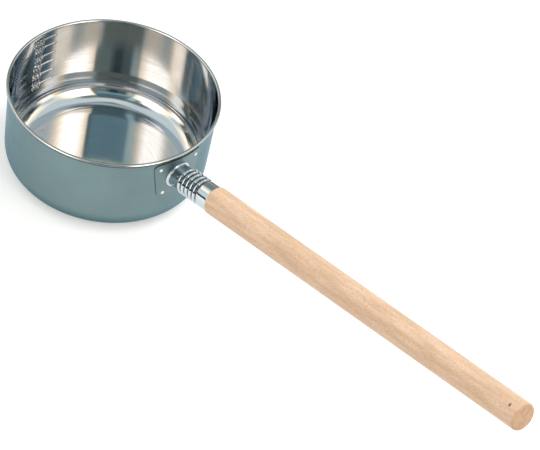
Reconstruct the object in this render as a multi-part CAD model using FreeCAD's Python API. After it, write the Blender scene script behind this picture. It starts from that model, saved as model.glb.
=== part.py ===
import FreeCAD, Part
import math
import os

# Water dipper (hishaku) in stainless steel and beech, in millimetres.
# +Z is the bowl's axis, up. The origin is the centre of the bowl's underside,
# and the handle leaves the bowl towards +X, rising as it goes.

# Bowl, drawn from one round of sheet
mouth_radius = 75.0           # inside, at the rolled rim
bowl_height = 70.0            # underside to the top of the rolled rim
bowl_sheet = 0.8
wall_taper_deg = 2.6          # the wall leans out towards the mouth
corner_radius = 17.5          # outside, where the wall turns into the floor
bead_diameter = 2.6           # the rim's curl, across
curl_sweep_deg = 280.0        # how far round the rim's edge is rolled
corner_chord_count = 8        # straight pieces that draw the round
curl_chord_count = 6

# Saddle plate, spot welded to the outside of the wall
plate_sheet = 0.8
plate_top_width = 43.8
plate_foot_width = 30.4
plate_above_axis = 15.8       # the plate's top edge over the socket's axis
plate_below_axis = 18.3
plate_top_corner_radius = 3.5
plate_foot_corner_radius = 8.0

# Spot welds, one near each corner of the plate
weld_diameter = 2.8
weld_height = 0.55
weld_inset = 5.0              # from the plate's two nearest edges

# Socket, a rolled tube with a flared root and ring corrugations
socket_sheet = 0.8
socket_drop = 19.8            # middle of the rim's bead down to the axis, at the wall
handle_rise_deg = 9.5         # the axis against the horizontal
neck_radius = 9.05            # outside, between the root and the first ring
root_fillet = 0.9             # the flare between the neck and the flange
flange_lip = 0.3              # the flat edge outside the flare, where it is narrowest
first_ring = 12.1             # bowl wall to the first ring's crest, along the axis
ring_count = 5
ring_pitch = 4.0
ring_rise = 1.25              # crest over neck
crest_flat_share = 0.34       # of the pitch
valley_flat_share = 0.14      # of the pitch
band_length = 9.9             # the plain band behind the rings

# Handle, a turned beech dowel with a stepped tenon
handle_diameter = 21.5
handle_length = 320.0         # the stretch of wood that shows
handle_end_round = 1.8
shoulder_round = 0.5
handle_round_chord_count = 3
tenon_start = 9.0             # bowl wall to the tenon's nose
tenon_nose_chamfer = 1.2
tenon_clearance = 0.1         # wood to socket, all round

# Nail that pins the handle, on the hidden underside of the band
nail_shank_radius = 0.9
nail_head_radius = 2.0
nail_head_height = 0.8
nail_head_bevel = 0.4
nail_length = 8.0             # the band's outside to the point
nail_point = 1.6
nail_hole_clearance = 0.1     # in the socket's sheet

cut_overrun = 5.0             # how far a cutting tool stands past what it cuts
full_turn_deg = 360.0
match_share = 0.01            # of a sheet's thickness: how near counts as in one place
probe_shares = (0, 0.25, 0.5, 0.75, 1)      # of an edge's length, where it is looked at

# Worked out from the sizes above
taper = math.radians(wall_taper_deg)
bead_radius = bead_diameter / 2
rim_height = bowl_height - bead_radius
socket_axis_height = rim_height - socket_drop
band_radius = neck_radius + ring_rise
root_corner = math.radians(90 - handle_rise_deg) - taper      # the neck's sharpest angle to the wall
flange_radius = neck_radius + root_fillet / math.tan(root_corner / 2) + flange_lip
rings_start = first_ring - ring_pitch / 2
band_start = rings_start + (ring_count + 0.5) * ring_pitch
socket_end = band_start + band_length
handle_radius = handle_diameter / 2
handle_end = socket_end + handle_length
plate_top = socket_axis_height + plate_above_axis
plate_foot = socket_axis_height - plate_below_axis

Vec = FreeCAD.Vector
ORIGIN = Vec(0, 0, 0)
X_AXIS = Vec(1, 0, 0)
Y_AXIS = Vec(0, 1, 0)
Z_AXIS = Vec(0, 0, 1)


def wall_radius(height, outside=0.0):
    """Radius of the bowl's outer wall at a height, and of a skin that lies outside it."""
    mouth = mouth_radius + (bowl_sheet + outside) / math.cos(taper)
    return mouth - (rim_height - height) * math.tan(taper)


def upright(across, up):
    """A point of the plane that holds the bowl's axis."""
    return Vec(across, 0, up)


def along(distance, radius):
    """A point of the plane that holds the socket's axis, in the handle's own frame."""
    return Vec(distance, radius, 0)


def bend(centre, radius, start_deg, end_deg, chords, plane):
    """Points that draw an arc about centre as chords, in the plane that maps (across, up) to a point."""
    angles = [math.radians(start_deg + (end_deg - start_deg) * step / chords) for step in range(chords + 1)]
    return [plane(centre[0] + radius * math.cos(a), centre[1] + radius * math.sin(a)) for a in angles]


def outline(points):
    """Flat face inside a closed run of points."""
    return Part.Face(Part.makePolygon([*points, points[0]]))


def ends(edge):
    """First and last point of an edge, in the edge's own direction."""
    return edge.valueAt(edge.FirstParameter), edge.valueAt(edge.LastParameter)


def to_handle_frame(shape):
    """Moves a shape from the handle's own frame, axis along X, to its place on the bowl."""
    placed = shape.copy()
    placed.rotate(ORIGIN, Y_AXIS, -handle_rise_deg)
    placed.translate(Vec(wall_radius(socket_axis_height), 0, socket_axis_height))
    return placed


def make_bowl():
    """Revolved section: flat floor, round corner, leaning wall and a rim curled outwards."""
    corner = (wall_radius(corner_radius) - corner_radius / math.cos(taper), corner_radius)
    bead = (mouth_radius + bead_radius / math.cos(taper), rim_height)
    curl_start = 180 - wall_taper_deg
    curl_end = curl_start - curl_sweep_deg
    section = outline([
        upright(0, 0),
        *bend(corner, corner_radius, -90, -wall_taper_deg, corner_chord_count, upright),
        *bend(bead, bead_radius - bowl_sheet, curl_start, curl_end, curl_chord_count, upright),
        *bend(bead, bead_radius, curl_end, curl_start, curl_chord_count, upright),
        *bend(corner, corner_radius - bowl_sheet, -wall_taper_deg, -90, corner_chord_count, upright),
        upright(0, bowl_sheet),
    ])
    return section.revolve(ORIGIN, Z_AXIS, full_turn_deg)


def wall_skin(inside, outside, foot, top):
    """Ring that follows the bowl's outer wall, between two distances from it."""
    corners = [
        upright(wall_radius(foot, inside), foot),
        upright(wall_radius(foot, outside), foot),
        upright(wall_radius(top, outside), top),
        upright(wall_radius(top, inside), top),
    ]
    return outline(corners).revolve(ORIGIN, Z_AXIS, full_turn_deg)


def wall_core(outside, foot, top):
    """Solid cone that fills the bowl's outer wall, grown by a distance."""
    corners = [
        upright(0, foot),
        upright(wall_radius(foot, outside), foot),
        upright(wall_radius(top, outside), top),
        upright(0, top),
    ]
    return outline(corners).revolve(ORIGIN, Z_AXIS, full_turn_deg)


def plate_half_width(height):
    """Half the plate's width at a height, because the plate narrows downwards."""
    share = (height - plate_foot) / (plate_top - plate_foot)
    return (plate_foot_width + (plate_top_width - plate_foot_width) * share) / 2


def lies_along_x(edge, height):
    """True for an edge that runs the blank's whole depth, at a height."""
    first, last = ends(edge)
    return abs(first.x - last.x) > mouth_radius and abs(first.z - height) < plate_sheet * match_share


def plate_blank():
    """Prism of the plate's outline, with tighter corners at the top than at the foot, seen along X."""
    corners = [
        Vec(0, -plate_foot_width / 2, plate_foot),
        Vec(0, plate_foot_width / 2, plate_foot),
        Vec(0, plate_top_width / 2, plate_top),
        Vec(0, -plate_top_width / 2, plate_top),
    ]
    prism = outline(corners).extrude(X_AXIS * (mouth_radius + bead_diameter + cut_overrun))
    for height, radius in ((plate_foot, plate_foot_corner_radius), (plate_top, plate_top_corner_radius)):
        prism = prism.makeFillet(radius, [edge for edge in prism.Edges if lies_along_x(edge, height)])
    return prism


def make_saddle_plate():
    """Sheet bent to the bowl's wall and trimmed to a tapered outline with round corners."""
    skin = wall_skin(0, plate_sheet, plate_foot - cut_overrun, plate_top + cut_overrun)
    return skin.common(plate_blank())


def weld_places():
    """Across and height of each weld, set in from the plate's edges."""
    places = []
    for height in (plate_foot + weld_inset, plate_top - weld_inset):
        reach = plate_half_width(height) - weld_inset
        places += [(-reach, height), (reach, height)]
    return places


def make_spot_welds():
    """Low domes of weld metal, each seated on the plate's outer face."""
    weld_radius = weld_diameter / 2
    ball_radius = (weld_radius ** 2 + weld_height ** 2) / (2 * weld_height)
    seat = wall_core(plate_sheet, plate_foot - cut_overrun, plate_top + cut_overrun)
    domes = []
    for across, height in weld_places():
        radius = wall_radius(height, plate_sheet)
        depth = math.sqrt(radius ** 2 - across ** 2)
        outward = Vec(depth, across, 0) / radius * math.cos(taper) - Z_AXIS * math.sin(taper)
        centre = Vec(depth, across, height) + outward * (weld_height - ball_radius)
        domes.append(Part.makeSphere(ball_radius, centre).cut(seat))
    return Part.makeCompound(domes)


def ring_profile(inward):
    """Corners of the corrugations, a distance in from the outside, from the neck to the band."""
    slope_run = ring_pitch * (1 - crest_flat_share - valley_flat_share) / 2
    shift = inward * math.tan(math.atan2(ring_rise, slope_run) / 2)
    half_crest = ring_pitch * crest_flat_share / 2 - shift
    half_valley = ring_pitch * valley_flat_share / 2 + shift
    corners = []
    for ring in range(ring_count + 1):
        valley = rings_start + ring * ring_pitch
        crest = valley + ring_pitch / 2
        if ring > 0:
            corners.append(along(valley - half_valley, neck_radius - inward))
        corners.append(along(valley + half_valley, neck_radius - inward))
        corners.append(along(crest - half_crest, band_radius - inward))
        if ring < ring_count:
            corners.append(along(crest + half_crest, band_radius - inward))
    return corners


def socket_body(inward, start, end):
    """Solid of revolution inside the socket's profile, a distance in from the outside."""
    section = outline([
        along(start, 0),
        along(start, neck_radius - inward),
        *ring_profile(inward),
        along(end, band_radius - inward),
        along(end, 0),
    ])
    return to_handle_frame(section.revolve(ORIGIN, X_AXIS, full_turn_deg))


def axis_distance(point):
    """Distance of a point from the socket's axis."""
    rise = math.radians(handle_rise_deg)
    direction = Vec(math.cos(rise), 0, math.sin(rise))
    start = Vec(wall_radius(socket_axis_height), 0, socket_axis_height)
    return (point - start).cross(direction).Length


def on_root_line(edge):
    """True for the edge where the neck runs into the flange."""
    span = edge.LastParameter - edge.FirstParameter
    probes = [edge.valueAt(edge.FirstParameter + span * share) for share in probe_shares]
    near = socket_sheet * match_share
    skin = plate_sheet + socket_sheet
    on_neck = all(abs(axis_distance(p) - neck_radius) < near for p in probes)
    on_skin = all(abs(math.hypot(p.x, p.y) - wall_radius(p.z, skin)) < near for p in probes)
    return on_neck and on_skin


def make_handle_socket():
    """Ringed tube whose flared root sits on the plate: tube and flange, filleted, then bored."""
    foot = socket_axis_height - flange_radius - cut_overrun
    top = socket_axis_height + flange_radius + cut_overrun
    disc = Part.makeCylinder(flange_radius, 2 * flange_radius, Vec(-flange_radius, 0, 0), X_AXIS)
    flange = wall_skin(plate_sheet, plate_sheet + socket_sheet, foot, top).common(to_handle_frame(disc))
    body = socket_body(0, -cut_overrun, socket_end).fuse(flange)
    body = body.cut(wall_core(plate_sheet, foot, top))
    body = body.makeFillet(root_fillet, [edge for edge in body.Edges if on_root_line(edge)])
    body = body.cut(socket_body(socket_sheet, -cut_overrun, socket_end + cut_overrun))
    return body.cut(nail_shank(nail_shank_radius + nail_hole_clearance))


def nail_place():
    """Distance of the nail along the socket, at the middle of the band."""
    return band_start + band_length / 2


def nail_shank(radius):
    """Round shank with a point, from just outside the band up into the handle."""
    section = outline([
        Vec(0, 0, -band_radius - nail_head_height / 2),
        Vec(radius, 0, -band_radius - nail_head_height / 2),
        Vec(radius, 0, -band_radius + nail_length - nail_point),
        Vec(0, 0, -band_radius + nail_length),
    ])
    shank = section.revolve(ORIGIN, Z_AXIS, full_turn_deg)
    shank.translate(X_AXIS * nail_place())
    return to_handle_frame(shank)


def make_handle_nail():
    """Shank and a bevelled round head that seats on the band's round underside."""
    face = -band_radius - nail_head_height
    section = outline([
        Vec(0, 0, face),
        Vec(nail_head_radius - nail_head_bevel, 0, face),
        Vec(nail_head_radius, 0, face + nail_head_bevel),
        Vec(nail_head_radius, 0, 0),
        Vec(0, 0, 0),
    ])
    head = section.revolve(ORIGIN, Z_AXIS, full_turn_deg)
    head.translate(X_AXIS * nail_place())
    band = Part.makeCylinder(band_radius, socket_end, ORIGIN, X_AXIS)
    return to_handle_frame(head.cut(band)).fuse(nail_shank(nail_shank_radius))


def make_wood_handle():
    """Turned dowel: nosed tenon under the rings, thicker collar under the band, round end."""
    tenon_radius = neck_radius - socket_sheet - tenon_clearance
    collar_radius = band_radius - socket_sheet - tenon_clearance
    collar_start = band_start + tenon_clearance
    shoulder = (socket_end + shoulder_round, handle_radius - shoulder_round)
    end = (handle_end - handle_end_round, handle_radius - handle_end_round)
    section = outline([
        along(tenon_start, 0),
        along(tenon_start, tenon_radius - tenon_nose_chamfer),
        along(tenon_start + tenon_nose_chamfer, tenon_radius),
        along(collar_start, tenon_radius),
        along(collar_start, collar_radius),
        along(socket_end, collar_radius),
        *bend(shoulder, shoulder_round, 180, 90, handle_round_chord_count, along),
        *bend(end, handle_end_round, 90, 0, handle_round_chord_count, along),
        along(handle_end, 0),
    ])
    handle = to_handle_frame(section.revolve(ORIGIN, X_AXIS, full_turn_deg))
    return handle.cut(nail_shank(nail_shank_radius))


parts = {
    "bowl": make_bowl(),
    "saddle_plate": make_saddle_plate(),
    "spot_welds": make_spot_welds(),
    "handle_socket": make_handle_socket(),
    "handle_nail": make_handle_nail(),
    "wood_handle": make_wood_handle(),
}

os.makedirs("parts", exist_ok=True)
for name, shape in parts.items():
    shape.exportStep("parts/" + name + ".step")
    box = shape.BoundBox
    print(name, "solids", len(shape.Solids), "valid", shape.isValid(), "volume", round(shape.Volume, 1),
          "x", round(box.XMin, 2), round(box.XMax, 2), "z", round(box.ZMin, 2), round(box.ZMax, 2))
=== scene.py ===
import math

import bpy
import numpy as np
from mathutils import Matrix, Vector


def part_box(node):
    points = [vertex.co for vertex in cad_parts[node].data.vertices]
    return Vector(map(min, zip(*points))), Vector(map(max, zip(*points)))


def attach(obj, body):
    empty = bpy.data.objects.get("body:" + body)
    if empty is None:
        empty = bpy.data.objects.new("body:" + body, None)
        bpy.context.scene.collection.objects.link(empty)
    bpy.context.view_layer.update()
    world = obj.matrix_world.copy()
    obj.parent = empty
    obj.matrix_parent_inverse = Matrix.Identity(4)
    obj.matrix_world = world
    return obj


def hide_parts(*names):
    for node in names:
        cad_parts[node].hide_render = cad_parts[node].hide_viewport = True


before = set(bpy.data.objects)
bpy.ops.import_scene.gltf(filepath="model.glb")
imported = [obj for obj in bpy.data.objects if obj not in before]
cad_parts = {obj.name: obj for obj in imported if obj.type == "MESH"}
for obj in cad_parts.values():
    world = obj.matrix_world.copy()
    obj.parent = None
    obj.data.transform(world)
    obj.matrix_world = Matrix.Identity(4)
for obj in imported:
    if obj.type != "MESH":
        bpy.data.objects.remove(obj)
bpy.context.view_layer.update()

# Water dipper in stainless steel and beech, in metres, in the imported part's own frame:
# +Z is the bowl's axis, up, the origin is the centre of its underside, the handle goes towards +X.

mm = 0.001
full_turn = 2 * math.pi

# Camera: direction of the eye seen from the bowl, and where the rim's centre falls in the picture
picture_width, picture_height = 540, 450
focal_pixels = 6000
sensor_width = 36
eye_azimuth = math.radians(-47.376)
eye_elevation = math.radians(43.294)
eye_roll = math.radians(10.117)
eye_distance = 4.2899
rim_centre_pixel = (113.888, 92.656)

# Bowl
sheet = 0.8 * mm
taper = math.radians(2.6)
corner_radius = 17.5 * mm
bead_radius = 1.3 * mm
curl_sweep = math.radians(280)
curl_shade_from, curl_shade_to = -0.35, 1.9      # painted shade: the dark line under the curl, below its middle, in its radii
curl_shade_onset, curl_shade_fade = 4, 3         # how steeply it begins and ends
wall_sway = 0.50 * mm                      # how far drawing hollows the inner wall
sway_height_share = 0.10                   # how far up the wall it is hollowed most
sway_sharpness = 12                        # how tight the bend is there
wall_rows = 136
row_crowding = 4                           # how many times closer the rows lie at the digits
bowl_columns = 244
column_crowding = 15                       # how many times closer the columns lie at the scale
floor_rows = 14
bowl_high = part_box("bowl")[1]
bead_centre = (bowl_high.x - bead_radius, bowl_high.z - bead_radius)

# Embossed scale inside the bowl, opposite the handle
mark_heights = [63.5 * mm, 56.2 * mm, 47.6 * mm, 39.8 * mm, 31.1 * mm, 22.3 * mm]
mark_labels = ["1000", "900", "750", "600", "500", "350"]
mark_from = math.radians(174.2)
mark_to = math.radians(181.2)
label_from = math.radians(182.4)
label_to = math.radians(191.5)
half_mark_heights = [55.9 * mm, 39.1 * mm, 31.1 * mm]
half_mark_from = math.radians(195.3)
half_mark_to = math.radians(200.6)
scale_margin = math.radians(1)
digit_height = 4.2 * mm
digit_width = 2.1 * mm
digit_pitch = 2.9 * mm
stroke_half_width = 0.28 * mm
stroke_shoulder = 0.50 * mm
emboss_height = 0.45 * mm

# Saddle plate
plate_sheet = 0.8 * mm
plate_top_width = 43.8 * mm
plate_foot_width = 30.4 * mm
plate_top_corner = 3.5 * mm
plate_foot_corner = 8.0 * mm
plate_edge_round = 0.3 * mm
plate_low, plate_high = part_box("saddle_plate")

# Spot welds
weld_radius = 1.4 * mm
weld_height = 0.55 * mm
weld_inset = 5.0 * mm
weld_root = 0.1 * mm
weld_fullness = 3                          # power by which the dome falls away from its middle
weld_columns = 32

# Socket, distances along the handle's axis from the bowl's wall
handle_rise = math.radians(9.5)
axis_height = 48.9 * mm
neck_radius = 9.05 * mm
root_fillet = 0.9 * mm
flange_lip = 0.3 * mm
neck_start = 6.5 * mm
ring_count = 5
ring_pitch = 4.0 * mm
rings_start = 10.1 * mm
ring_rise = 1.25 * mm
ring_fullness = 0.85                       # power on the wave: below 1, crests are full and valleys tight
band_radius = neck_radius + ring_rise
band_start = rings_start + (ring_count + 0.5) * ring_pitch
band_end = 42.0 * mm
tube_edge_round = 0.25 * mm
socket_columns = 160
grime_and_shade_power = 3                            # how closely the grime and painted shade keep to the bottom of a valley

# Handle
handle_radius = 10.75 * mm
handle_end = band_end + 320.0 * mm
end_round = 1.8 * mm
shoulder_round = 0.5 * mm
collar_radius = 9.4 * mm
tenon_start = 9.0 * mm
tenon_clearance = 0.1 * mm
dowel_columns = 144
knot_from_end = 8.0 * mm
knot_turn = math.radians(-32.5)
knot_core, knot_edge = 0.5 * mm, 1.1 * mm
knot_squash = (1, 0.6, 0.6)                # makes the knot an oval that is longest across the handle

# Finishes
foot_shade_full, foot_shade_clear = 3 * mm, 19 * mm    # heights between which the painted shade on the bowl's foot fades out
lathe_line_depth = 0.02 * mm
patch_depth = 0.03 * mm
fleck_depth = 0.06 * mm

# Stage
floor_radius = 1.2
floor_sides = 96
floor_glow = 0.38                          # added to the floor where the eye, metal or glass sees it
horizon_dark, horizon_clear = 6, 12        # degrees of rise
ceiling_from, ceiling_full = 64, 78


def wall_radius(height, outside=0.0):
    """Radius of the bowl's outer wall at a height, plus a skin that lies outside it."""
    top_radius = bead_centre[0] - (bead_radius - sheet - outside) / math.cos(taper)
    return top_radius - (bead_centre[1] - height) * math.tan(taper)


handle_start = np.array([wall_radius(axis_height), 0.0, axis_height])
handle_along = np.array([math.cos(handle_rise), 0.0, math.sin(handle_rise)])
handle_up = np.array([-math.sin(handle_rise), 0.0, math.cos(handle_rise)])
handle_side = np.array([0.0, 1.0, 0.0])


# Meshes

def grid_faces(grid, ring_of_rows):
    """Points, quads and triangles over grid[row, column], whose columns close round.
    The rows close into a ring too, or else the first and last row are one point each, a fan's tip."""
    rows, columns = grid.shape[:2]
    number = np.arange(rows * columns).reshape(rows, columns)
    after = np.roll(number, -1, axis=1)
    if ring_of_rows:
        next_row, next_after = np.roll(number, -1, axis=0), np.roll(after, -1, axis=0)
        quads = np.stack([number, after, next_after, next_row], axis=-1).reshape(-1, 4)
        return grid.reshape(-1, 3), quads, np.zeros((0, 3), int)
    quads = np.stack([number[1:-2], after[1:-2], after[2:-1], number[2:-1]], axis=-1).reshape(-1, 4)
    first_tip = np.full(columns, columns - 1)
    last_tip = np.full(columns, (rows - 1) * columns)
    fans = np.concatenate([np.stack([first_tip, after[1], number[1]], axis=-1),
                           np.stack([number[-2], after[-2], last_tip], axis=-1)])
    first_used = columns - 1
    points = grid.reshape(-1, 3)[first_used:last_tip[0] + 1]
    return points, quads - first_used, fans - first_used


def volume_of(points, triangles):
    """Volume that triangles enclose, negative where they face inwards: the sum of their tetrahedra."""
    corners = points[triangles]
    return np.einsum("ij,ij->", np.cross(corners[:, 0], corners[:, 1]), corners[:, 2]) / 6


def add_object(name, data):
    """New object in the scene, at the origin."""
    made = bpy.data.objects.new(name, data)
    bpy.context.scene.collection.objects.link(made)
    return made


def make_piece(name, grids, ring_of_rows=False, masks=None):
    """Smooth closed mesh over one or more grids, with its faces outwards and its masks on the points."""
    points, quads, fans = [], [], []
    start = 0
    for grid in grids:
        grid_points, grid_quads, grid_fans = grid_faces(grid, ring_of_rows)
        split = np.concatenate([grid_quads[:, :3], grid_quads[:, [0, 2, 3]], grid_fans])
        if volume_of(grid_points, split) < 0:
            grid_quads, grid_fans = grid_quads[:, ::-1], grid_fans[:, ::-1]
        points.append(grid_points)
        quads.append(grid_quads + start)
        fans.append(grid_fans + start)
        start += len(grid_points)
    mesh = bpy.data.meshes.new(name)
    faces = np.concatenate(quads).tolist() + np.concatenate(fans).tolist()
    mesh.from_pydata(np.concatenate(points), [], faces)
    mesh.polygons.foreach_set("use_smooth", np.ones(len(mesh.polygons), bool))
    for mask_name, values in (masks or {}).items():
        attribute = mesh.attributes.new(mask_name, "FLOAT", "POINT")
        attribute.data.foreach_set("value", values.astype(np.float32))
    return add_object(name, mesh)


def arc_points(centre, radius, start, end, count):
    """Points of an arc about centre, angles counted from the first coordinate towards the second."""
    angle = np.linspace(start, end, count)
    return np.stack([centre[0] + radius * np.cos(angle), centre[1] + radius * np.sin(angle)], axis=1)


def on_round(centre, radius, angle):
    """One point of a round."""
    return arc_points(centre, radius, angle, angle, 1)[0]


def run(start, end, count):
    """Evenly spaced points from start up to, not with, end."""
    share = np.arange(count)[:, None] / count
    return np.array(start) * (1 - share) + np.array(end) * share


def crowded(low, high, count, close, crowding, fine_count=20000):
    """Values from low to high, that many times closer together where close(value) holds."""
    fine = np.linspace(low, high, fine_count)
    gathered = np.cumsum(np.where(close(fine), crowding, 1.0))
    return np.interp(np.linspace(gathered[0], gathered[-1], count), gathered, fine)


def segment_distance(across, up, start, end):
    """Distance of the points (across, up) from a straight segment."""
    along_x, along_y = end[0] - start[0], end[1] - start[1]
    length = along_x ** 2 + along_y ** 2
    share = np.clip(((across - start[0]) * along_x + (up - start[1]) * along_y) / length, 0, 1)
    return np.hypot(across - start[0] - share * along_x, up - start[1] - share * along_y)


# Plain digits as strokes, in shares of their width and height
digit_stroke_shares = {
    "0": [(0.2, 0), (0.8, 0), (1, 0.2), (1, 0.8), (0.8, 1), (0.2, 1), (0, 0.8), (0, 0.2), (0.2, 0)],
    "1": [(0.2, 0.8), (0.5, 1), (0.5, 0)],
    "3": [(0, 0.9), (0.3, 1), (0.8, 1), (1, 0.8), (0.7, 0.53), (1, 0.25), (0.8, 0), (0.3, 0), (0, 0.1)],
    "5": [(0.9, 1), (0.1, 1), (0.05, 0.55), (0.7, 0.6), (1, 0.4), (1, 0.2), (0.7, 0), (0, 0.05)],
    "6": [(0.9, 1), (0.3, 0.8), (0, 0.3), (0.3, 0), (0.8, 0.05), (1, 0.3), (0.7, 0.55), (0.1, 0.4)],
    "7": [(0, 1), (1, 1), (0.4, 0)],
    "9": [(0.1, 0), (0.7, 0.2), (1, 0.7), (0.7, 1), (0.2, 0.95), (0, 0.7), (0.3, 0.45), (0.9, 0.6)],
}


def scale_strokes(radius):
    """Every straight stroke of the scale: two points (distance round a wall of that radius, height)."""
    strokes = []
    for heights, start, end in ((mark_heights, mark_from, mark_to),
                                (half_mark_heights, half_mark_from, half_mark_to)):
        strokes += [((start * radius, height), (end * radius, height)) for height in heights]
    for label, height in zip(mark_labels, mark_heights):
        for place, digit in enumerate(reversed(label)):
            right = label_from * radius + place * digit_pitch
            points = [(right + (1 - x) * digit_width, height + (y - 0.5) * digit_height)
                      for x, y in digit_stroke_shares[digit]]
            strokes += list(zip(points[:-1], points[1:]))
    return strokes


def emboss(angle, height):
    """How far the sheet is pressed inwards: fully on a stroke, falling smoothly over its shoulder."""
    radius = wall_radius(axis_height) - sheet
    nearest = np.full(np.broadcast(angle, height).shape, 1.0)
    for start, end in scale_strokes(radius):
        nearest = np.minimum(nearest, segment_distance(angle * radius, height, start, end))
    share = np.clip((nearest - stroke_half_width) / stroke_shoulder, 0, 1)
    return emboss_height * (1 - share * share * (3 - 2 * share))


def near_a_mark(height):
    """Whether a height lies on one of the scale's lines of digits."""
    off = np.abs(height - np.array(mark_heights)[:, None])
    return np.min(off, axis=0) < digit_height / 2 + stroke_shoulder


def near_the_scale(angle):
    """Whether an angle lies on the marks and digits, or on the short marks beside them."""
    on_labels = (angle > mark_from - scale_margin) & (angle < label_to + scale_margin)
    return on_labels | (angle > half_mark_from - scale_margin) & (angle < half_mark_to + scale_margin)


def make_bowl():
    """Sheet section carried round the axis: underside, corner, wall, curl, then the inside back down.
    The scale presses the inner and outer wall inwards alike, and rows and columns crowd there.
    The inner wall is hollowed by wall_sway times the lesser of two straight lines, softly rounded where
    they meet: one rises from the wall's foot to the bend, the other falls from there to the rim."""
    corner = (wall_radius(corner_radius) - corner_radius / math.cos(taper), corner_radius)
    wall_end = -taper
    curl_start = math.pi - taper
    curl_end = curl_start - curl_sweep
    curl_inside = bead_radius - sheet
    inner_corner = corner_radius - sheet
    wall_low = on_round(corner, corner_radius, wall_end)
    wall_high = on_round(bead_centre, curl_inside, curl_start)
    inner_low = on_round(corner, inner_corner, wall_end)
    inner_high = on_round(bead_centre, bead_radius, curl_start)
    heights = crowded(wall_low[1], wall_high[1], wall_rows, near_a_mark, row_crowding)
    up_share = ((heights - heights[0]) / (heights[-1] - heights[0]))[:, None]
    rising, falling = up_share / sway_height_share, (1 - up_share) / (1 - sway_height_share)
    soft_least = -np.logaddexp(-sway_sharpness * rising, -sway_sharpness * falling) / sway_sharpness
    hollow = np.concatenate([wall_sway * soft_least, 0 * up_share], axis=1)
    inwards = np.linspace(0, 1, floor_rows)[:, None] ** 2
    outside = np.concatenate([
        run((0, 0), (corner[0], 0), 6),
        arc_points(corner, corner_radius, -math.pi / 2, wall_end, 16)[:-1],
        (wall_low * (1 - up_share) + wall_high * up_share)[:-1],
        arc_points(bead_centre, curl_inside, curl_start, curl_end, 10),
    ])
    inside = np.concatenate([
        arc_points(bead_centre, bead_radius, curl_end, curl_start, 20)[:-1],
        (inner_low * (1 - up_share) + inner_high * up_share + hollow)[:0:-1],
        arc_points(corner, inner_corner, wall_end, -math.pi / 2, 24)[:-1],
        np.array([corner[0], sheet]) * (1 - inwards) + np.array([0, sheet]) * inwards,
    ])
    section = np.concatenate([outside, inside])
    angle = crowded(0, full_turn, bowl_columns + 1, near_the_scale, column_crowding)[None, :-1]
    radius = np.repeat(section[:, :1], angle.shape[1], axis=1)
    height = np.repeat(section[:, 1:], angle.shape[1], axis=1)
    on_wall = (height > corner_radius) & (height < bead_centre[1] - bead_radius)
    radius = radius - np.where(on_wall, emboss(angle, height), 0)
    grid = np.stack([radius * np.cos(angle), radius * np.sin(angle), height], axis=-1)
    is_inside = np.arange(len(section)) >= len(outside)
    below = (bead_centre[1] - section[:, 1]) / bead_radius
    is_outer = section[:, 0] > wall_radius(section[:, 1]) - sheet / 2
    # Painted shade: a dark line on the outer face under the curl, standing in for shade and dark
    # reflections there.
    onset = np.clip(curl_shade_onset * (below - curl_shade_from), 0, 1)
    fade = np.clip(curl_shade_fade * (curl_shade_to - below), 0, 1)
    masks = {"inside": is_inside, "curl_shade": onset * fade * is_outer}
    used = slice(bowl_columns - 1, (len(section) - 1) * bowl_columns + 1)
    masks = {name: np.repeat(values, bowl_columns)[used] for name, values in masks.items()}
    return make_piece("bowl_shell", [grid], masks=masks)


def place_on_handle(distance, radius, angle):
    """Points at a distance along the handle's axis and a radius from it, at an angle from up to +Y."""
    distance, radius, angle = np.broadcast_arrays(distance, radius, angle)
    out = np.cos(angle)[..., None] * handle_up + np.sin(angle)[..., None] * handle_side
    return handle_start + distance[..., None] * handle_along + radius[..., None] * out


def distance_to_wall(radius, angle, outside, steps=12):
    """Along the handle's axis, where a line parallel to it meets a skin over the bowl's wall.
    The skin leans, so the place is found in a few steps that each take off what is left."""
    foot = place_on_handle(0.0, radius, angle)
    distance = np.zeros_like(angle)
    for _ in range(steps):
        point = foot + distance[..., None] * handle_along
        left = np.hypot(point[..., 0], point[..., 1]) - wall_radius(point[..., 2], outside)
        distance = distance - left / math.cos(handle_rise + taper)
    return distance


def ring_profile(inward, steps_per_ring):
    """Rolled rings from the neck to the band, as (distance, radius) points: a cosine wave from 0 to 1,
    to a power below 1 that fills its crests."""
    count = int((ring_count + 0.5) * steps_per_ring) + 1
    distance = np.linspace(rings_start, band_start, count)
    wave = (1 - np.cos(full_turn * (distance - rings_start) / ring_pitch)) / 2
    return np.stack([distance, neck_radius - inward + ring_rise * wave ** ring_fullness], axis=1)


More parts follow.
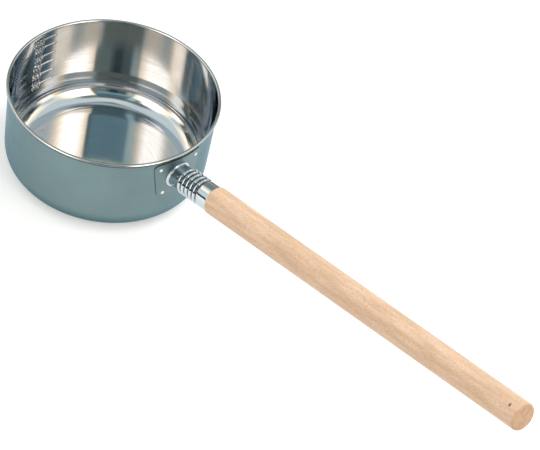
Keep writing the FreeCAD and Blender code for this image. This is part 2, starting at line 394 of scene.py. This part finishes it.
def make_socket():
    """Ringed tube round the handle's axis, as rows square to it. Its root flares by a quarter round,
    and there each row follows the face of the plate."""
    angle = np.linspace(0, full_turn, socket_columns, endpoint=False)
    narrowest = math.pi / 2 - handle_rise - taper
    flare = root_fillet / math.tan(narrowest / 2)
    flange_radius = neck_radius + flare + flange_lip
    face = plate_sheet + tube_edge_round
    rows, grime_and_shade = [], []

    def skin_row(radius, lift, outside):
        """Row at a radius from the axis, lifted along it from a skin over the wall."""
        rows.append(place_on_handle(distance_to_wall(radius, angle, outside) + lift, radius, angle))
        grime_and_shade.append(0.0)

    def free_rows(profile, valleys=False):
        """Rows square to the axis through (distance, radius) points, with grime and painted shade in the
        valleys.
        """
        for distance, radius in profile:
            rows.append(place_on_handle(distance, radius, angle))
            # Mask of grime and painted shade, strongest at the bottom of each valley.
            depth = (band_radius - radius) / ring_rise
            in_valley = valleys and distance > rings_start + ring_pitch / 2
            grime_and_shade.append(depth ** grime_and_shade_power if in_valley else 0.0)

    skin_row(flange_radius - tube_edge_round, 0, plate_sheet)
    for turn in np.linspace(0, math.pi / 2, 5):
        edge_radius = flange_radius - tube_edge_round * (1 - math.cos(turn))
        skin_row(edge_radius, tube_edge_round * math.sin(turn), face)
    for turn in np.linspace(0, math.pi / 2, 18):
        skin_row(neck_radius + flare * (1 - math.sin(turn)),
                 tube_edge_round + flare * (1 - math.cos(turn)), face)
    free_rows(run((neck_start, neck_radius), (rings_start, neck_radius), 4))
    free_rows(ring_profile(inward=0, steps_per_ring=16), valleys=True)
    free_rows(run((band_start, band_radius), (band_end - tube_edge_round, band_radius), 8)[1:])
    rim = (band_end - tube_edge_round, band_radius - tube_edge_round)
    free_rows(arc_points(rim, tube_edge_round, math.pi / 2, 0, 5))
    free_rows(run((band_end, band_radius - sheet), (band_start, band_radius - sheet), 5))
    free_rows(ring_profile(inward=sheet, steps_per_ring=4)[::-1])
    skin_row(neck_radius - sheet, 0, plate_sheet)
    return make_piece("socket_tube", [np.array(rows)], ring_of_rows=True,
                      masks={"grime_and_shade": np.repeat(grime_and_shade, socket_columns)})


def make_dowel():
    """Turned profile round the handle's axis: tenon, collar, shoulder, straight stretch, rounded end."""
    tenon_radius = neck_radius - sheet - tenon_clearance
    shoulder = (band_end + shoulder_round, handle_radius - shoulder_round)
    far = (handle_end - end_round, handle_radius - end_round)
    profile = np.concatenate([
        [(tenon_start, 0)],
        run((tenon_start, tenon_radius / 2), (tenon_start, tenon_radius), 2),
        run((tenon_start, tenon_radius), (band_start, tenon_radius), 4),
        run((band_start, collar_radius), (band_end, collar_radius), 4),
        arc_points(shoulder, shoulder_round, math.pi, math.pi / 2, 7)[:-1],
        run((shoulder[0], handle_radius), (far[0], handle_radius), 60),
        arc_points(far, end_round, math.pi / 2, 0, 12)[:-1],
        run((handle_end, far[1]), (handle_end, 0), 8),
        [(handle_end, 0)],
    ])
    angle = np.linspace(0, full_turn, dowel_columns, endpoint=False)[None, :]
    return make_piece("wood_dowel", [place_on_handle(profile[:, :1], profile[:, 1:], angle)])


def plate_outline(arc_count, side_count):
    """Rounded trapezoid, as (across, height) points: an arc at each corner, then the run to the next."""
    foot, top = plate_low.z, plate_high.z
    corners = np.array([(-plate_foot_width / 2, foot), (plate_foot_width / 2, foot),
                        (plate_top_width / 2, top), (-plate_top_width / 2, top)])
    rounds = (plate_foot_corner, plate_foot_corner, plate_top_corner, plate_top_corner)
    neighbours = zip(corners, np.roll(corners, 1, axis=0), np.roll(corners, -1, axis=0))
    arcs = []
    for radius, (here, before, after) in zip(rounds, neighbours):
        back = (before - here) / np.linalg.norm(before - here)
        on = (after - here) / np.linalg.norm(after - here)
        half = math.acos(back @ on) / 2
        centre = here + (back + on) / np.linalg.norm(back + on) * radius / math.sin(half)
        first = here + back * radius / math.tan(half) - centre
        start = math.atan2(first[1], first[0])
        arcs.append(arc_points(centre, radius, start, start + math.pi - 2 * half, arc_count))
    return np.concatenate([np.concatenate([arc[:-1], run(arc[-1], following[0], side_count)])
                           for arc, following in zip(arcs, arcs[1:] + arcs[:1])])


def on_skin(across, height, outside):
    """Points of a skin over the bowl's wall on the handle's side, by distance across and height."""
    return np.stack([np.sqrt(wall_radius(height, outside) ** 2 - across ** 2), across, height], axis=-1)


def make_plate():
    """Outline drawn in step by step to the middle: back face, rounded edge, front face."""
    outline = plate_outline(arc_count=9, side_count=16)
    middle = outline.mean(axis=0)
    tangent = np.roll(outline, -1, axis=0) - np.roll(outline, 1, axis=0)
    inward = np.stack([-tangent[:, 1], tangent[:, 0]], axis=1)
    inward = inward / np.linalg.norm(inward, axis=1)[:, None]
    rim = outline + inward * plate_edge_round
    shares = np.linspace(0, 1, 12)[:, None, None]
    faces = middle + (rim - middle) * shares
    rows = [on_skin(points[:, 0], points[:, 1], 0) for points in faces]
    for turn in np.linspace(0, math.pi / 2, 6):
        points = outline + inward * plate_edge_round * (1 - math.cos(turn))
        outside = plate_sheet - plate_edge_round * (1 - math.sin(turn))
        rows.append(on_skin(points[:, 0], points[:, 1], outside))
    rows += [on_skin(points[:, 0], points[:, 1], plate_sheet) for points in faces[-2::-1]]
    return make_piece("plate_sheet", [np.array(rows)])


def weld_places():
    """Across and height of each weld, set in from the plate's edges."""
    places = []
    for height in (plate_low.z + weld_inset, plate_high.z - weld_inset):
        share = (height - plate_low.z) / (plate_high.z - plate_low.z)
        half = (plate_foot_width + (plate_top_width - plate_foot_width) * share) / 2
        places += [(-(half - weld_inset), height), (half - weld_inset, height)]
    return places


def make_welds():
    """Low round domes on the plate. Their height falls with the cube of the way out from the middle,
    and the last two rows close them just under the plate's face."""
    turn = np.linspace(0, full_turn, weld_columns, endpoint=False)[None, :]
    share = np.append(np.linspace(0, 1, 10), [1.0, 0.0])[:, None]
    lift = weld_height * (1 - share ** weld_fullness)
    lift[-2:] = -weld_root
    domes = []
    for across, height in weld_places():
        side = across + weld_radius * share * np.cos(turn)
        up = height + weld_radius * share * np.sin(turn)
        domes.append(on_skin(side, up, plate_sheet + lift))
    return make_piece("weld_domes", domes)


bowl = make_bowl()
socket = make_socket()
dowel = make_dowel()
plate = make_plate()
welds = make_welds()


# Node helpers

def node(tree, kind, inputs=None, **settings):
    """New shader node with its settings, and each input linked to a socket or set to a plain value."""
    made = tree.nodes.new("ShaderNode" + kind)
    for key, value in settings.items():
        setattr(made, key, value)
    for key, value in (inputs or {}).items():
        if isinstance(value, bpy.types.NodeSocket):
            tree.links.new(value, made.inputs[key])
        else:
            made.inputs[key].default_value = value
    return made


def math_of(tree, operation, *values):
    """Result of a Math node on sockets or numbers."""
    return node(tree, "Math", dict(enumerate(values)), operation=operation).outputs[0]


def smooth_range(tree, value, low, high, to_low=0.0, to_high=1.0):
    """Value carried smoothly from one range to another, and held at its ends."""
    inputs = {"Value": value, "From Min": low, "From Max": high, "To Min": to_low, "To Max": to_high}
    return node(tree, "MapRange", inputs, interpolation_type="SMOOTHSTEP").outputs[0]


def mix_colour(tree, factor, first, second, blend="MIX"):
    """Colour between two, which are sockets or (red, green, blue)."""
    inputs = {0: factor}
    for place, value in ((6, first), (7, second)):
        inputs[place] = value if isinstance(value, bpy.types.NodeSocket) else (*value, 1)
    return node(tree, "Mix", inputs, data_type="RGBA", blend_type=blend).outputs[2]


def mix_value(tree, factor, first, second):
    """Number between two."""
    return node(tree, "Mix", {0: factor, 2: first, 3: second}).outputs[0]


def noise(tree, vector, scale, detail=2.0, roughness=0.5):
    """Height of a noise at a vector, from 0 to 1."""
    inputs = {"Vector": vector, "Scale": scale, "Detail": detail, "Roughness": roughness}
    return node(tree, "TexNoise", inputs).outputs["Fac"]


def spread(tree, height, to_low=0.0, to_high=1.0):
    """A noise's usual heights, 0.3 to 0.7, carried smoothly to another range."""
    return smooth_range(tree, height, 0.3, 0.7, to_low, to_high)


def object_place(tree):
    """Place on the piece, in metres."""
    return node(tree, "TexCoord").outputs["Object"]


def new_group(name, inputs, outputs):
    """Empty node group with number inputs, given as {name: value}, and number outputs."""
    group = bpy.data.node_groups.new(name, "ShaderNodeTree")
    for socket_name, value in inputs.items():
        made = group.interface.new_socket(name=socket_name, in_out="INPUT", socket_type="NodeSocketFloat")
        made.default_value = value
    for socket_name in outputs:
        group.interface.new_socket(name=socket_name, in_out="OUTPUT", socket_type="NodeSocketFloat")
    return group, group.nodes.new("NodeGroupInput").outputs, group.nodes.new("NodeGroupOutput").inputs


def place_group(tree, group, values):
    """Outputs of a group whose inputs are set after its tree is."""
    made = node(tree, "Group", node_tree=group)
    for name, value in values.items():
        made.inputs[name].default_value = value
    return made.outputs


def brush_lines_group():
    """Fine lines left by polishing on a lathe, round the bowl's axis: a noise that changes fast
    with the way down the wall and in over the floor, and slowly round the axis."""
    group, given, result = new_group("brush lines", {"Density": 4000.0, "Along": 6.0}, ["Lines"])
    x, y, z = node(group, "SeparateXYZ", {0: object_place(group)}).outputs
    squares = math_of(group, "ADD", math_of(group, "MULTIPLY", x, x), math_of(group, "MULTIPLY", y, y))
    radius = math_of(group, "MAXIMUM", math_of(group, "SQRT", squares), sheet)
    parts = {}
    for axis, side in enumerate((x, y)):
        parts[axis] = math_of(group, "MULTIPLY", math_of(group, "DIVIDE", side, radius), given["Along"])
    parts[2] = math_of(group, "MULTIPLY", math_of(group, "ADD", radius, z), given["Density"])
    place = node(group, "CombineXYZ", parts).outputs[0]
    group.links.new(noise(group, place, scale=1.0, detail=3.0, roughness=0.6), result["Lines"])
    return group


def patches_group():
    """Soft uneven patches, coarse and fine, for handling marks, tint and slight waves."""
    group, given, result = new_group("soft patches", {"Coarse": 18.0, "Fine": 90.0}, ["Coarse", "Fine"])
    for name, detail in (("Coarse", 2.0), ("Fine", 4.0)):
        group.links.new(noise(group, object_place(group), given[name], detail=detail), result[name])
    return group


brush_lines = brush_lines_group()
soft_patches = patches_group()


def new_material(name):
    """New material, its tree and the inputs of its Principled shader."""
    material = bpy.data.materials.new(name)
    material.use_nodes = True
    return material, material.node_tree, material.node_tree.nodes["Principled BSDF"].inputs


def bump(tree, height, strength, distance):
    """Normal from a height, which at 1 stands that distance proud."""
    inputs = {"Height": height, "Strength": strength, "Distance": distance}
    return node(tree, "Bump", inputs).outputs["Normal"]


def bowl_steel():
    """Satin outside and lathe-polished inside, told apart by the shell's own inside mask."""
    material, tree, shader = new_material("bowl_steel")
    inside = node(tree, "Attribute", attribute_name="inside").outputs["Fac"]
    lines = place_group(tree, brush_lines, {"Density": 5200.0, "Along": 5.0})["Lines"]
    streaks = place_group(tree, brush_lines, {"Density": 1100.0, "Along": 2.0})["Lines"]
    streaks = spread(tree, streaks)
    patches = place_group(tree, soft_patches, {"Coarse": 16.0, "Fine": 80.0})
    height = node(tree, "SeparateXYZ", {0: object_place(tree)}).outputs["Z"]
    # Painted shade: the outside darkens towards the floor, standing in for the shadowed floor it
    # reflects.
    foot = smooth_range(tree, height, foot_shade_full, foot_shade_clear, 1.0, 0.0)
    # Painted reflection: the satin outside's dark teal stands in for the teal-grey surroundings that the
    # steel reflects.
    satin = mix_colour(tree, patches["Coarse"], (0.158, 0.225, 0.235), (0.193, 0.272, 0.284))
    satin = mix_colour(tree, foot, satin, (0.050, 0.130, 0.140))
    polished = mix_colour(tree, streaks, (0.60, 0.60, 0.60), (0.67, 0.67, 0.67))
    colour = mix_colour(tree, inside, satin, polished)
    # Painted shade: near black along the line under the curl.
    curl_shade = node(tree, "Attribute", attribute_name="curl_shade").outputs["Fac"]
    tree.links.new(mix_colour(tree, curl_shade, colour, (0.03, 0.035, 0.035)), shader["Base Color"])
    satin_rough = spread(tree, patches["Fine"], 0.36, 0.44)
    bright_rough = mix_value(tree, streaks, 0.11, 0.07)
    tree.links.new(mix_value(tree, inside, satin_rough, bright_rough), shader["Roughness"])
    shader["Metallic"].default_value = 1.0
    # Painted reflection: a blue tint at grazing angles.
    shader["Specular Tint"].default_value = (0.72, 0.86, 1.0, 1)
    shader["Anisotropic"].default_value = 0.6
    shader["Anisotropic Rotation"].default_value = 0.25
    tangent = node(tree, "Tangent", direction_type="RADIAL", axis="Z").outputs[0]
    tree.links.new(tangent, shader["Tangent"])
    tree.links.new(bump(tree, lines, strength=0.03, distance=lathe_line_depth), shader["Normal"])
    return material


def satin_steel(name, dark, light, rough_low, rough_high):
    """Plain satin or bright steel whose tint and gloss drift in soft patches. A piece with a grime and
    shade mask darkens by it, near black: grime and painted shade."""
    material, tree, shader = new_material(name)
    patches = place_group(tree, soft_patches, {"Coarse": 60.0, "Fine": 500.0})
    grime_and_shade = node(tree, "Attribute", attribute_name="grime_and_shade").outputs["Fac"]
    colour = mix_colour(tree, patches["Coarse"], dark, light)
    # Grime and painted shade: near black where the mask is set.
    tree.links.new(mix_colour(tree, grime_and_shade, colour, (0.02, 0.02, 0.02)), shader["Base Color"])
    tree.links.new(spread(tree, patches["Fine"], rough_low, rough_high), shader["Roughness"])
    shader["Metallic"].default_value = 1.0
    tree.links.new(bump(tree, patches["Fine"], strength=0.1, distance=patch_depth), shader["Normal"])
    return material


def beech():
    """Pale beech: long soft grain, small dark ray flecks, one pin knot and darker end grain.
    Patterns lie on coordinates turned to the handle, whose first runs along it."""
    material, tree, shader = new_material("beech")
    knot_at = place_on_handle(handle_end - knot_from_end, handle_radius, knot_turn)
    knot_place = tuple(knot_at @ way for way in (handle_along, handle_side, handle_up))
    inputs = {"Vector": object_place(tree), "Rotation": (0, handle_rise, 0)}
    turned = node(tree, "Mapping", inputs).outputs[0]
    stretched = node(tree, "Mapping", {"Vector": turned, "Scale": (1, 9, 9)}).outputs[0]
    grain = spread(tree, noise(tree, stretched, scale=30.0, detail=4.0, roughness=0.55))
    fleck_place = node(tree, "Mapping", {"Vector": turned, "Scale": (1, 3.5, 3.5)}).outputs[0]
    flecks = smooth_range(tree, noise(tree, fleck_place, scale=460.0), 0.53, 0.68)
    colour = mix_colour(tree, grain, (0.61, 0.405, 0.268), (0.755, 0.535, 0.388))
    colour = mix_colour(tree, math_of(tree, "MULTIPLY", flecks, 0.6), colour, (0.47, 0.255, 0.14))
    away = node(tree, "VectorMath", {0: turned, 1: knot_place}, operation="SUBTRACT").outputs[0]
    away = node(tree, "VectorMath", {0: away, 1: knot_squash}, operation="MULTIPLY").outputs[0]
    away = node(tree, "VectorMath", {0: away}, operation="LENGTH").outputs["Value"]
    knot = smooth_range(tree, away, knot_core, knot_edge, 1.0, 0.0)
    colour = mix_colour(tree, knot, colour, (0.15, 0.04, 0.012))
    along = node(tree, "SeparateXYZ", {0: turned}).outputs["X"]
    end_face = float(handle_start @ handle_along + handle_end)
    end_grain = smooth_range(tree, along, end_face - end_round, end_face)
    colour = mix_colour(tree, end_grain, colour, (0.80, 0.71, 0.62), "MULTIPLY")
    tree.links.new(colour, shader["Base Color"])
    tree.links.new(mix_value(tree, grain, 0.42, 0.55), shader["Roughness"])
    tree.links.new(bump(tree, flecks, strength=0.15, distance=fleck_depth), shader["Normal"])
    return material


def dress(piece, material):
    """Gives a piece one material."""
    piece.data.materials.clear()
    piece.data.materials.append(material)


dress(bowl, bowl_steel())
for piece, name, dark, light, rough_low, rough_high in (
        # Painted reflection: the plate's dark teal, like the bowl's outside, stands in for teal-grey
        # surroundings.
        (plate, "plate_steel", (0.145, 0.205, 0.213), (0.18, 0.25, 0.26), 0.34, 0.42),
        (welds, "weld_steel", (0.80, 0.82, 0.82), (0.88, 0.90, 0.90), 0.26, 0.34),
        (socket, "socket_steel", (0.52, 0.57, 0.62), (0.58, 0.64, 0.69), 0.06, 0.12),
        (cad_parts["handle_nail"], "nail_steel", (0.5, 0.5, 0.5), (0.6, 0.6, 0.6), 0.3, 0.4)):
    dress(piece, satin_steel(name, dark, light, rough_low, rough_high))
dress(dowel, beech())

for piece, cad_node, slot in ((bowl, "bowl", "bowl_steel"), (socket, "handle_socket", "socket_steel"),
                              (dowel, "wood_handle", "beech"), (plate, "saddle_plate", "plate_steel"),
                              (welds, "spot_welds", "weld_steel")):
    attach(piece, "root")
    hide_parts(cad_node)


# Floor, surroundings and camera

def make_floor():
    """Round pale floor that keeps the object's shadow and looks near white to the eye and to metal."""
    angle = np.linspace(0, full_turn, floor_sides, endpoint=False)
    edge = np.stack([floor_radius * np.cos(angle), floor_radius * np.sin(angle), 0 * angle], axis=1)
    mesh = bpy.data.meshes.new("floor")
    mesh.from_pydata(edge, [], [list(range(floor_sides))])
    floor = add_object("floor", mesh)
    material, tree, shader = new_material("floor")
    shader["Base Color"].default_value = (0.70, 0.70, 0.70, 1)
    shader["Roughness"].default_value = 0.9
    shader["Specular IOR Level"].default_value = 0.0
    path = node(tree, "LightPath").outputs
    seen = math_of(tree, "MAXIMUM", path["Is Camera Ray"], path["Is Glossy Ray"])
    seen = math_of(tree, "MAXIMUM", seen, path["Is Transmission Ray"])
    shader["Emission Color"].default_value = (1, 1, 1, 1)
    tree.links.new(math_of(tree, "MULTIPLY", seen, floor_glow), shader["Emission Strength"])
    mesh.materials.append(material)


def make_world():
    """Studio round the object, by direction: a dark horizon, a pale ceiling, pale sides, a grey back, a
    light box on each side of the eye, a thin band at the eye's height and a dark gap between the boxes.
    Each is laid over those before it. The eye sees plain white."""
    world = bpy.data.worlds.new("studio")
    bpy.context.scene.world = world
    world.use_nodes = True
    tree = world.node_tree
    background = tree.nodes["Background"].inputs
    direction = node(tree, "TexCoord").outputs["Generated"]
    inputs = {"Vector": direction, "Angle": -eye_azimuth}
    turned = node(tree, "VectorRotate", inputs, rotation_type="Z_AXIS").outputs[0]
    x, y, z = node(tree, "SeparateXYZ", {0: turned}).outputs
    azimuth = math_of(tree, "DEGREES", math_of(tree, "ARCTAN2", y, x))
    aside = math_of(tree, "ABSOLUTE", azimuth)
    elevation = math_of(tree, "DEGREES", math_of(tree, "ARCSINE", z))

    def between(value, low, high, edge):
        """1 inside a range, 0 outside, smooth over the edge."""
        rising = smooth_range(tree, value, low - edge, low + edge)
        falling = smooth_range(tree, value, high - edge, high + edge, 1.0, 0.0)
        return math_of(tree, "MULTIPLY", rising, falling)

    ceiling = smooth_range(tree, elevation, ceiling_from, ceiling_full)
    colour = mix_colour(tree, ceiling, (0.15, 0.22, 0.24), (0.92, 0.98, 1.00))
    boxes = (
        # Pale sides, warm at mid height, and a grey back
        (aside, (62, 142), (0, 100), (12, 5), (0.78, 0.90, 0.94)),
        (aside, (94, 130), (34, 46), (9, 3), (1.90, 1.60, 1.25)),
        (aside, (78, 150), (8, 27), (6, 3), (1.00, 1.05, 1.03)),
        (aside, (138, 220), (0, 100), (8, 4), (0.30, 0.33, 0.31)),
        (aside, (138, 220), (0, 20), (8, 3), (0.60, 0.60, 0.59)),
        # Light box on each side of the eye: a warm rim, then whiter inside it
        (azimuth, (-72, -19), (8, 47), (7, 3), (1.85, 1.55, 1.17)),
        (azimuth, (-66, -38), (40, 55), (7, 4), (2.60, 2.50, 2.38)),
        (azimuth, (-58, -28), (8, 43), (6, 2), (2.75, 2.60, 2.38)),
        (azimuth, (25, 70), (8, 58), (8, 4), (1.95, 1.62, 1.22)),
        (azimuth, (34, 60), (8, 56), (7, 3), (3.00, 2.87, 2.70)),
        # Thin band at the eye's height, which the top of the bowl's wall shows
        (aside, (60, 134), (42.0, 44.4), (6, 0.7), (1.40, 1.43, 1.30)),
        (aside, (94, 134), (42.0, 44.4), (8, 0.7), (1.00, 1.02, 0.92)),
        (azimuth, (-62, -36), (42.0, 44.4), (6, 0.7), (2.15, 1.80, 1.28)),
        (azimuth, (36, 64), (42.0, 44.4), (6, 0.7), (3.90, 3.00, 2.10)),
        (aside, (136, 220), (42.0, 44.4), (6, 0.7), (0.40, 0.50, 0.41)),
        # Dark gap between the light boxes, with its own lighter and darker parts
        (azimuth, (-20, 28), (4, 70), (1.5, 5), (0.10, 0.17, 0.19)),
        (azimuth, (-20, 28), (8, 41.5), (1.5, 1), (0.21, 0.27, 0.26)),
        (azimuth, (-11, 11), (24, 41), (1.5, 1.2), (0.10, 0.14, 0.15)),
        (azimuth, (-21, -13), (8, 41), (2, 2), (0.55, 0.66, 0.64)),
        (azimuth, (-30, -17), (44, 60), (4, 2), (0.50, 0.74, 0.80)),
        (azimuth, (-19, 26), (42, 58), (3, 2), (0.13, 0.235, 0.27)),
        (azimuth, (-20, 24), (42, 47), (4, 2.5), (0.29, 0.52, 0.66)),
        (azimuth, (-2, 7), (24, 42), (1.5, 2), (0.04, 0.06, 0.07)),
    )
    for turn, turns, rises, (turn_edge, rise_edge), tint in boxes:
        wide, tall = between(turn, *turns, turn_edge), between(elevation, *rises, rise_edge)
        colour = mix_colour(tree, math_of(tree, "MULTIPLY", wide, tall), colour, tint)
    above = smooth_range(tree, elevation, horizon_dark, horizon_clear)
    colour = mix_colour(tree, above, (0.02, 0.025, 0.028), colour)
    seen = node(tree, "LightPath").outputs["Is Camera Ray"]
    tree.links.new(mix_colour(tree, seen, colour, (1.0, 1.0, 1.0)), background["Color"])


def direction_of(azimuth, elevation):
    """Unit vector at an angle round +Z from +X and a rise over the horizon."""
    flat = math.cos(elevation)
    return Vector((flat * math.cos(azimuth), flat * math.sin(azimuth), math.sin(elevation)))


def make_sun(name, turn, rise, width, strength):
    """Far soft lamp, at a turn from the eye and a rise, in degrees. Metal doesn't show it."""
    data = bpy.data.lights.new(name, "SUN")
    data.angle = math.radians(width)
    data.energy = strength
    lamp = add_object(name, data)
    away = direction_of(eye_azimuth + math.radians(turn), math.radians(rise))
    lamp.rotation_euler = away.to_track_quat("Z", "Y").to_euler()
    lamp.visible_camera = False
    lamp.visible_glossy = False


def make_camera():
    """Eye placed so that the rim's centre falls on its pixel, rolled about the line of sight."""
    back = direction_of(eye_azimuth, eye_elevation)
    level = Vector((-math.sin(eye_azimuth), math.cos(eye_azimuth), 0))
    upward = back.cross(level)
    right = math.cos(eye_roll) * level + math.sin(eye_roll) * upward
    up = -math.sin(eye_roll) * level + math.cos(eye_roll) * upward
    pixel = eye_distance / focal_pixels
    aside = (rim_centre_pixel[0] - picture_width / 2) * pixel
    above = (picture_height / 2 - rim_centre_pixel[1]) * pixel
    data = bpy.data.cameras.new("camera")
    data.sensor_width = sensor_width
    data.lens = focal_pixels / picture_width * sensor_width
    data.clip_end = 4 * eye_distance
    camera = add_object("camera", data)
    turned = Matrix((right, up, back)).transposed().to_4x4()
    turned.translation = Vector((0, 0, bead_centre[1])) + eye_distance * back - aside * right - above * up
    camera.matrix_world = turned
    bpy.context.scene.camera = camera


make_floor()
make_world()
make_sun("key", turn=115, rise=50, width=40, strength=1.65)
make_sun("top", turn=20, rise=78, width=60, strength=0.55)
make_camera()
bpy.context.scene.view_settings.view_transform = "Standard"
